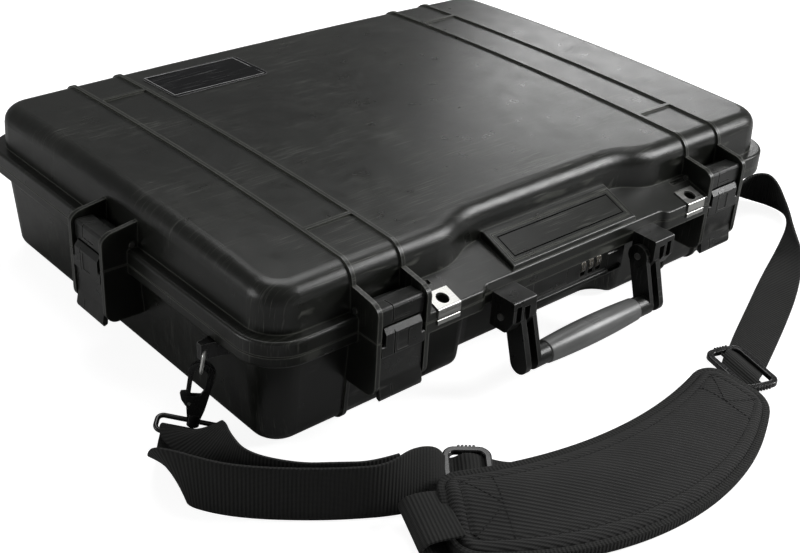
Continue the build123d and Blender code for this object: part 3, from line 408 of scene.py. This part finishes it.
def addPiece(name, body, bm, finish, replaced=(), smooth=True):
    mesh = bpy.data.meshes.new(name)
    bm.to_mesh(mesh)
    bm.free()
    obj = bpy.data.objects.new(name, mesh)
    scene.collection.objects.link(obj)
    dress(obj, finish)
    for polygon in mesh.polygons:
        polygon.use_smooth = smooth
    if replaced:
        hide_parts(*replaced)
    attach(obj, body)
    return obj


# A strip of webbing: rows of points between the edge lines, kept above the floor, and its UV map in metres.
def strip(name, route):
    width, sheet, columns = webbing["wide"] / 1000, webbing["sheet"] / 1000, webbing["columns"]
    lows = smoothLine([place(low) for low, _ in route], webbing["steps"])
    ups = smoothLine([place(up) for _, up in route], webbing["steps"])
    bm = bmesh.new()
    layer = bm.loops.layers.uv.new("cloth")
    rows, runs, line = [], [], []
    for low, up in zip(lows, ups):
        here = (low + up) / 2
        runs.append(runs[-1] + (here - line[-1]).length if line else 0.0)
        half = (up - low).normalized() * width / 2
        here.z = max(here.z, abs(half.z) + sheet / 2)
        rows.append([bm.verts.new(here - half + half * 2 * step / columns) for step in range(columns + 1)])
        line.append(here)
    for first, (one, two) in enumerate(zip(rows, rows[1:])):
        for step in range(columns):
            face = bm.faces.new((one[step], one[step + 1], two[step + 1], two[step]))
            for loop, (row, column) in zip(face.loops, quadCorners):
                loop[layer].uv = (runs[first + row], (step + column) / columns * width)
    obj = addPiece(name, "base", bm, "webbingCloth", (name.replace("strip", "webbing"),))
    thick = obj.modifiers.new("thickness", "SOLIDIFY")
    thick.thickness = sheet
    thick.offset = 0
    edge = obj.modifiers.new("edge", "BEVEL")
    edge.width = webbing["edge"] / 1000
    edge.segments = webbing["edgeSteps"]
    edge.limit_method = "ANGLE"
    return obj, line, runs[-1]


strips = {}
for name, route in routes.items():
    strips[name] = strip(name.replace("webbing", "strip"), route)
for side in ("left", "right"):
    obj, line, run = strips[f"webbing_{side}"]
    print("stage: webbing", side, round(run, 4))

# ---- shoulder pad: a crescent between two arcs, in millimetres, with a round rim, a seam line and a crown
pad = {"back": [(-187, -269), (-71, -301), (46, -287)], "front": [(-214, -314), (-76, -370), (54, -331)],
       "halfLong": 137.0, "halfWide": 33.0, "middle": -84, "lift": 8.7, "tilt": 1.6, "low": 1.2,
       "bendFrom": -0.6, "bendOver": 1.4, "edge": 6.0, "thick": 9.2, "crown": 2.2, "corner": 14.0,
       "round": 8.0, "under": 1.6, "underRound": 3, "seam": 9.0, "seamDeep": 0.9, "seamWide": 1.6,
       "long": 120, "across": 44, "crowded": 0.35}


# Points from 0 to 1 on the arc through three points.
def arcThrough(points):
    (ax, ay), (bx, by), (cx, cy) = points
    a, b, c = ax * ax + ay * ay, bx * bx + by * by, cx * cx + cy * cy
    d = 2 * (ax * (by - cy) + bx * (cy - ay) + cx * (ay - by))
    ux = (a * (by - cy) + b * (cy - ay) + c * (ay - by)) / d
    uy = (a * (cx - bx) + b * (ax - cx) + c * (bx - ax)) / d
    radius = math.hypot(ax - ux, ay - uy)
    start = math.atan2(ay - uy, ax - ux)
    end = math.atan2(cy - uy, cx - ux)

    def spot(share):
        angle = start + (end - start) * share
        return ux + radius * math.cos(angle), uy + radius * math.sin(angle)
    return spot


padArcs = arcThrough(pad["back"]), arcThrough(pad["front"])


# Plan position for s along the pad and t across it, both from -1 to 1.
def padSpot(s, t):
    one, two = (arc((s + 1) / 2) for arc in padArcs)
    share = (t + 1) / 2
    return one[0] + (two[0] - one[0]) * share, one[1] + (two[1] - one[1]) * share


# Height share of a rim rounded over a distance: nought at the rim and one from that distance on.
def rounded(rim, over):
    return math.sqrt(max(1 - (1 - min(rim / over, 1)) ** 2, 0))


# Plan position and distance to the rim for grid values from -1 to 1, with round corners.
def padPoint(s, t):
    inward = pad["halfWide"] * (1 - abs(t))
    corner = pad["corner"]
    inset = corner - math.sqrt(corner ** 2 - (corner - inward) ** 2) if inward < corner else 0.0
    s = s * (1 - inset / pad["halfLong"])
    x, y = padSpot(s, t)
    rim = min(inward, pad["halfLong"] * (1 - abs(s)) - inset)
    return x, y, max(rim, 0.0)


# The underside: on the webbing at the back, and down near the floor at the front.
def padUnder(x, t):
    lifted = pad["lift"] - (x - pad["middle"]) * math.sin(math.radians(pad["tilt"]))
    front = min(max((t - pad["bendFrom"]) / pad["bendOver"], 0), 1)
    front = front * front * (3 - 2 * front)
    return lifted * (1 - front) + pad["low"] * front


def padTop(x, t, rim):
    swell = (pad["thick"] - pad["edge"]) * rounded(rim, pad["round"])
    seam = pad["seamDeep"] * math.exp(-((rim - pad["seam"]) / pad["seamWide"]) ** 2)
    return padUnder(x, t) + pad["edge"] + swell + pad["crown"] * (1 - t * t) - seam


# Grid values from -1 to 1 that crowd towards the ends.
def spread(count):
    evens = [2 * step / count - 1 for step in range(count + 1)]
    return [math.sin(math.pi / 2 * even) * pad["crowded"] + even * (1 - pad["crowded"]) for even in evens]


def padSheet(bm, top):
    rows = []
    for s in spread(pad["long"]):
        rows.append([])
        for t in spread(pad["across"]):
            x, y, rim = padPoint(s, t)
            under = padUnder(x, t) + pad["under"] * (1 - rounded(rim, pad["underRound"]))
            rows[-1].append(bm.verts.new(place((x, y, padTop(x, t, rim) if top else under))))
    for one, two in zip(rows, rows[1:]):
        for step in range(len(one) - 1):
            corners = [one[step], one[step + 1], two[step + 1], two[step]]
            bm.faces.new(corners if top else corners[::-1])
    return rows


# The grid's outermost points, once round.
def rimOf(rows):
    front, back = [row[0] for row in rows], [row[-1] for row in rows]
    return front + rows[-1][1:-1] + back[::-1] + rows[0][-2:0:-1]


def makePad():
    bm = bmesh.new()
    layer = bm.loops.layers.uv.new("cloth")
    rims = [rimOf(padSheet(bm, top)) for top in (True, False)]
    for face in bm.faces:
        for loop in face.loops:
            loop[layer].uv = (loop.vert.co.x, loop.vert.co.y)
    above, below = rims
    for step in range(len(above)):
        after = (step + 1) % len(above)
        face = bm.faces.new((above[step], above[after], below[after], below[step]))
        for loop in face.loops:
            loop[layer].uv = (loop.vert.co.x, loop.vert.co.y + loop.vert.co.z)
    bmesh.ops.recalc_face_normals(bm, faces=bm.faces)
    rimLine = [(one.co + two.co) / 2 for one, two in zip(above, below)]
    obj = addPiece("pad_body", "base", bm, "padCloth", ("shoulder_pad",))
    return rimLine


padRim = makePad()


# Binding tape folded round the rim: a flattened tube along it. Its profile is in millimetres outward and up.
binding = {"profile": [(0.0, 3.6), (-2.0, 3.3), (-4.6, 3.5), (-4.7, 2.7), (-4.6, -2.7), (-4.4, -3.2),
                       (-2.0, -3.2), (0.0, -3.3), (0.9, -2.2), (1.2, 0.0), (0.9, 2.2)], "side": 0.0012}


def makeBinding(line):
    bm = bmesh.new()
    layer = bm.loops.layers.uv.new("cloth")
    profile = binding["profile"]
    rings, run = [], 0.0
    count = len(line)
    for step, point in enumerate(line):
        ahead = (line[(step + 1) % count] - line[step - 1]).normalized()
        outward = ahead.cross(Vector((0, 0, 1))).normalized()
        rings.append(([bm.verts.new(point + outward * out / 1000 + Vector((0, 0, high / 1000)))
                       for out, high in profile], run))
        run += (line[(step + 1) % count] - point).length
    for step in range(count):
        (one, start), (two, _) = rings[step], rings[(step + 1) % count]
        length = (line[(step + 1) % count] - line[step]).length
        for side in range(len(profile)):
            other = (side + 1) % len(profile)
            face = bm.faces.new((one[side], one[other], two[other], two[side]))
            for loop, (row, column) in zip(face.loops, quadCorners):
                loop[layer].uv = (start + row * length, (side + column) * binding["side"])
    bmesh.ops.recalc_face_normals(bm, faces=bm.faces)
    return addPiece("pad_binding", "base", bm, "webbingCloth")


makeBinding(padRim)
print("stage: pad")

# ---- stitches: short threads spaced along a line by geometry nodes
stitch = {"spacing": 3.0, "long": 1.15, "thick": 0.34, "inset": 9.0, "boxDeep": 24.0, "proud": 0.15, "cut": 5,
          "sides": 6, "rings": 4, "steps": 40}


def socket(group, name, kind, way="INPUT"):
    return group.interface.new_socket(name=name, in_out=way, socket_type=kind)


def stitchTree():
    group = bpy.data.node_groups.new("stitches", "GeometryNodeTree")
    socket(group, "Geometry", "NodeSocketGeometry")
    names = {name: socket(group, name, "NodeSocketFloat").identifier for name in ("Spacing", "Long", "Thick")}
    socket(group, "Geometry", "NodeSocketGeometry", "OUTPUT")
    given = node(group, "NodeGroupInput").outputs
    line = node(group, "GeometryNodeMeshToCurve", {"Mesh": given["Geometry"]}).outputs[0]
    spots = node(group, "GeometryNodeResampleCurve", {"Curve": line, "Length": given["Spacing"]},
                 mode="LENGTH").outputs[0]
    ball = {"Segments": stitch["sides"], "Rings": stitch["rings"], "Radius": 1.0}
    thread = node(group, "GeometryNodeMeshUVSphere", ball).outputs["Mesh"]
    size = node(group, "ShaderNodeCombineXYZ", {"X": given["Long"], "Y": given["Thick"], "Z": given["Thick"]})
    shaped = node(group, "GeometryNodeTransform", {"Geometry": thread, "Scale": size.outputs[0]}).outputs[0]
    way = node(group, "GeometryNodeInputTangent").outputs[0]
    turn = node(group, "FunctionNodeAlignRotationToVector", {"Vector": way}, axis="X").outputs[0]
    copies = {"Points": spots, "Instance": shaped, "Rotation": turn}
    many = node(group, "GeometryNodeInstanceOnPoints", copies).outputs[0]
    real = node(group, "GeometryNodeRealizeInstances", {"Geometry": many}).outputs[0]
    black = {"Geometry": real, "Material": finishes["threadBlack"]}
    dyed = node(group, "GeometryNodeSetMaterial", black).outputs[0]
    result = node(group, "NodeGroupOutput")
    group.links.new(dyed, result.inputs[0])
    return group, names


stitchGroup, stitchNames = stitchTree()


def sewn(name, body, lines):
    mesh = bpy.data.meshes.new(name)
    points, edges = [], []
    for line in lines:
        start = len(points)
        points += line
        edges += [(start + step, start + step + 1) for step in range(len(line) - 1)]
    mesh.from_pydata(points, edges, [])
    obj = bpy.data.objects.new(name, mesh)
    scene.collection.objects.link(obj)
    modifier = obj.modifiers.new("stitches", "NODES")
    modifier.node_group = stitchGroup
    for key, value in (("Spacing", stitch["spacing"]), ("Long", stitch["long"]), ("Thick", stitch["thick"])):
        modifier[stitchNames[key]] = value / 1000
    bpy.context.view_layer.update()
    made = bpy.data.meshes.new_from_object(obj.evaluated_get(bpy.context.evaluated_depsgraph_get()))
    obj.modifiers.clear()
    obj.data = made
    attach(obj, body)
    return obj


def padLine(ends):
    count = stitch["steps"]
    points = []
    for (s1, t1), (s2, t2) in zip(ends, ends[1:]):
        for step in range(count):
            s, t = s1 + (s2 - s1) * step / count, t1 + (t2 - t1) * step / count
            x, y = padSpot(s, t)
            rim = min(pad["halfWide"] * (1 - abs(t)), pad["halfLong"] * (1 - abs(s)))
            points.append(place((x, y, padTop(x, t, rim) + stitch["proud"])))
    return points


# A line all round, and at each end a line across with a point in it.
def sewPad():
    long, wide = pad["halfLong"], pad["halfWide"]
    s, t = 1 - stitch["inset"] / long, 1 - stitch["inset"] / wide
    sCut, tCut = s - stitch["cut"] / long, t - stitch["cut"] / wide
    around = [(-sCut, -t), (sCut, -t), (s, -tCut), (s, tCut), (sCut, t), (-sCut, t), (-s, tCut), (-s, -tCut),
              (-sCut, -t)]
    lines = [padLine(around)]
    deep = s - stitch["boxDeep"] / long
    for side in (-1, 1):
        lines.append(padLine([(side * deep, -t), (side * deep, t)]))
        lines.append(padLine([(side * s, -t), (side * deep, 0), (side * s, t)]))
    sewn("pad_stitches", "base", lines)


sewPad()
print("stage: stitches")

# ---- lock: plain numbers on the dials
dial = {"radius": 7.0, "high": 60.6, "back": -188.5, "places": (14, 22, 30), "figure": 3.1, "deep": 0.12,
        "values": 10, "turned": 40, "curveSteps": 3}


def textMesh(words, size, deep):
    curve = bpy.data.curves.new("figure", "FONT")
    curve.body = words
    curve.size = size
    curve.extrude = deep
    curve.align_x = "CENTER"
    curve.align_y = "CENTER"
    curve.resolution_u = dial["curveSteps"]
    obj = bpy.data.objects.new("figure", curve)
    scene.collection.objects.link(obj)
    bpy.context.view_layer.update()
    mesh = bpy.data.meshes.new_from_object(obj)
    bpy.data.objects.remove(obj)
    bpy.data.curves.remove(curve)
    return mesh


def makeFigures():
    standing = Matrix.Rotation(math.pi / 2, 4, "X")
    outward = Matrix.Translation((0, -dial["radius"] / 1000, 0))
    for number, x in enumerate(dial["places"], 1):
        bm = bmesh.new()
        middle = Matrix.Translation(place((x, dial["back"], dial["high"])))
        for value in range(dial["values"]):
            mesh = textMesh(str(value), dial["figure"] / 1000, dial["deep"] / 1000)
            angle = -360 / dial["values"] * (value - 2 * number) - dial["turned"]
            mesh.transform(middle @ Matrix.Rotation(math.radians(angle), 4, "X") @ outward @ standing)
            bm.from_mesh(mesh)
            bpy.data.meshes.remove(mesh)
        addPiece(f"dial_figures_{number}", f"dial_{number}", bm, "paleInk", smooth=False)


makeFigures()
print("stage: lock")

# ---- a thin pale line round the bare plate and a dark line of painted groove shadow round the bare panel
flatWithin = 0.0002  # metres from the face's level
outlines = {
    "plate_outline": {"on": "label_plate", "finish": "paleInk", "inset": 2.2, "wide": 0.7, "high": 0.06},
    "panel_outline": {"on": "name_panel", "finish": "grooveShadow", "inset": 2.6, "wide": 0.9, "high": 0.08},
}


# The frame of a piece's biggest flat face: its middle, two ways in the face, its normal and half sizes.
def faceFrame(mesh):
    widest = max(mesh.polygons, key=lambda polygon: polygon.area)
    normal = widest.normal.copy()
    along = Vector((1, 0, 0))
    across = normal.cross(along).normalized()
    level = widest.center.dot(normal)
    spots = [vertex.co for vertex in mesh.vertices if abs(vertex.co.dot(normal) - level) < flatWithin]
    lows = [min(spot.dot(way) for spot in spots) for way in (along, across)]
    highs = [max(spot.dot(way) for spot in spots) for way in (along, across)]
    middle = along * (lows[0] + highs[0]) / 2 + across * (lows[1] + highs[1]) / 2 + normal * level
    return middle, along, across, normal, [(high - low) / 2 for low, high in zip(lows, highs)]


def makeOutline(name, look):
    middle, along, across, normal, half = faceFrame(nodes[look["on"]].data)
    bm = bmesh.new()
    rings = []
    for inset in (look["inset"], look["inset"] + look["wide"]):
        for rise in (-look["high"], look["high"]):
            rings.append([bm.verts.new(middle + along * (sideways * (half[0] - inset / 1000))
                                       + across * (upward * (half[1] - inset / 1000)) + normal * rise / 1000)
                          for sideways, upward in ((-1, -1), (1, -1), (1, 1), (-1, 1))])
    low, high, lowIn, highIn = rings
    for one, two in ((low, high), (high, highIn), (highIn, lowIn), (lowIn, low)):
        for step in range(4):
            after = (step + 1) % 4
            bm.faces.new((one[step], one[after], two[after], two[step]))
    bmesh.ops.recalc_face_normals(bm, faces=bm.faces)
    addPiece(name, "lid", bm, look["finish"], smooth=False)


for name, look in outlines.items():
    makeOutline(name, look)
print("stage: plate and panel")

# ---- floor, world and lamps
studio = {"floor": (0.5, 0.5, 0.5), "floorHalf": 8, "floorDrop": 0.0002, "floorRough": 0.95,
          "glow": 0.9, "world": 0.1, "worldSeen": 0.16}
lamps = {  # power, size, spot, aim
    "front": (40, (0.8, 1.0), (1.6, -1.35, 1.3), (0.05, -0.1, 0.05)),
    "top": (20, (1.6, 1.2), (0.5, 0.5, 1.9), (0, 0, 0.05)),
    "left": (7, (0.8, 0.5), (-1.9, 0.6, 0.5), (-0.2, 0, 0.05)),
    "back": (6, (0.8, 0.5), (1.9, 1.2, 0.8), (0.1, 0, 0.1)),
}


def makeFloor():
    bm = bmesh.new()
    half = studio["floorHalf"]
    bm.faces.new([bm.verts.new((x, y, -studio["floorDrop"]))
                  for x, y in ((-half, -half), (half, -half), (half, half), (-half, half))])
    mesh = bpy.data.meshes.new("floor")
    bm.to_mesh(mesh)
    bm.free()
    obj = bpy.data.objects.new("floor", mesh)
    scene.collection.objects.link(obj)
    material, tree, shader = blank("floorPaper")
    shader.inputs["Base Color"].default_value = (*studio["floor"], 1)
    shader.inputs["Roughness"].default_value = studio["floorRough"]
    shader.inputs["Specular IOR Level"].default_value = 0
    glow = node(tree, "ShaderNodeEmission", {"Color": (1, 1, 1, 1)})
    light = node(tree, "ShaderNodeLightPath").outputs
    seen = maths(tree, "MAXIMUM", light["Is Camera Ray"], light["Is Transmission Ray"])
    tree.links.new(maths(tree, "MULTIPLY", seen, studio["glow"]), glow.inputs["Strength"])
    both = node(tree, "ShaderNodeAddShader", {0: shader.outputs[0], 1: glow.outputs[0]})
    tree.links.new(both.outputs[0], tree.nodes["Material Output"].inputs["Surface"])
    mesh.materials.append(material)


def makeWorld():
    world = bpy.data.worlds.new("studio")
    scene.world = world
    world.use_nodes = True
    tree = world.node_tree
    back = tree.nodes["Background"]
    back.inputs["Color"].default_value = (1, 1, 1, 1)
    light = node(tree, "ShaderNodeLightPath").outputs
    seen = maths(tree, "MAXIMUM", light["Is Camera Ray"], light["Is Transmission Ray"])
    shiny = maths(tree, "MULTIPLY", light["Is Glossy Ray"], studio["worldSeen"] - studio["world"])
    dim = maths(tree, "ADD", shiny, studio["world"])
    tree.links.new(maths(tree, "MAXIMUM", seen, dim), back.inputs["Strength"])


def makeLamp(name, power, size, spot, aim):
    data = bpy.data.lights.new(name, "AREA")
    data.energy = power
    data.shape = "RECTANGLE"
    data.size, data.size_y = size
    obj = bpy.data.objects.new(name, data)
    scene.collection.objects.link(obj)
    obj.location = spot
    obj.rotation_euler = (Vector(spot) - Vector(aim)).to_track_quat("Z", "Y").to_euler()


makeFloor()
makeWorld()
for name, settings in lamps.items():
    makeLamp(name, *settings)
print("stage: studio")
